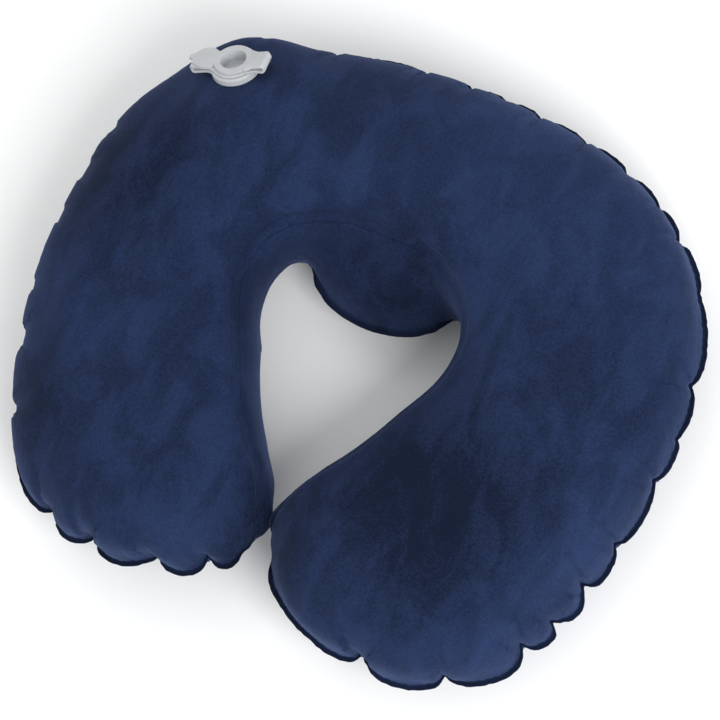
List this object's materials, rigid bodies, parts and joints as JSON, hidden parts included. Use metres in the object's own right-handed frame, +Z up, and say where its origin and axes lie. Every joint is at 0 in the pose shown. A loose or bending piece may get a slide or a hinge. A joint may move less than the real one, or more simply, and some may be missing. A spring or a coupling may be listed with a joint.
{
  "type": "neck pillow",
  "caption": "Inflatable U-shaped travel neck pillow in flocked film, welded at a puckered rim, with a fold-over air valve whose plug and stopper hang on straps.",
  "frame": {"origin": "middle of the overall box, on the ground that the pillow's bottom panel rests on", "axes": "+X to the wearer's right arm of the U (the longest side), +Y to the closed end behind the neck, +Z up through the thickness"},
  "size_m": [0.45, 0.38, 0.1138],
  "materials": {
    "flocked_film": "soft short-pile flock on vinyl film",
    "valve_vinyl": "satin soft vinyl",
    "diaphragm_vinyl": "satin soft vinyl"
  },
  "bodies": {
    "pillow": {"top_panel": "flocked_film", "bottom_panel": "flocked_film", "neck_panel": "flocked_film", "valve_base": "valve_vinyl", "plug_strap": "valve_vinyl"},
    "plug": {"inflation_plug": "valve_vinyl", "stopper_strap": "valve_vinyl"},
    "stopper": {"stopper": "valve_vinyl"},
    "diaphragm": {"check_diaphragm": "diaphragm_vinyl"}
  },
  "joints": [
    {"name": "plug_hinge", "type": "hinge", "parent": "pillow", "child": "plug", "pos_m": [-0.15573, 0.13035, 0.10065], "axis": [0.1707, -0.8779, 0.4473], "range_deg": [0, 150], "deforming": ["plug_strap"]},
    {"name": "stopper_hinge", "type": "hinge", "parent": "plug", "child": "stopper", "pos_m": [-0.10931, 0.14302, 0.10779], "axis": [-0.1707, 0.8779, -0.4473], "range_deg": [0, 150], "deforming": ["stopper_strap"]},
    {"name": "diaphragm_slide", "type": "slide", "parent": "plug", "child": "diaphragm", "axis": [0.1701, -0.4209, -0.891], "range_m": [0, 0.0015], "stiffness_N_per_m": 30}
  ]
}
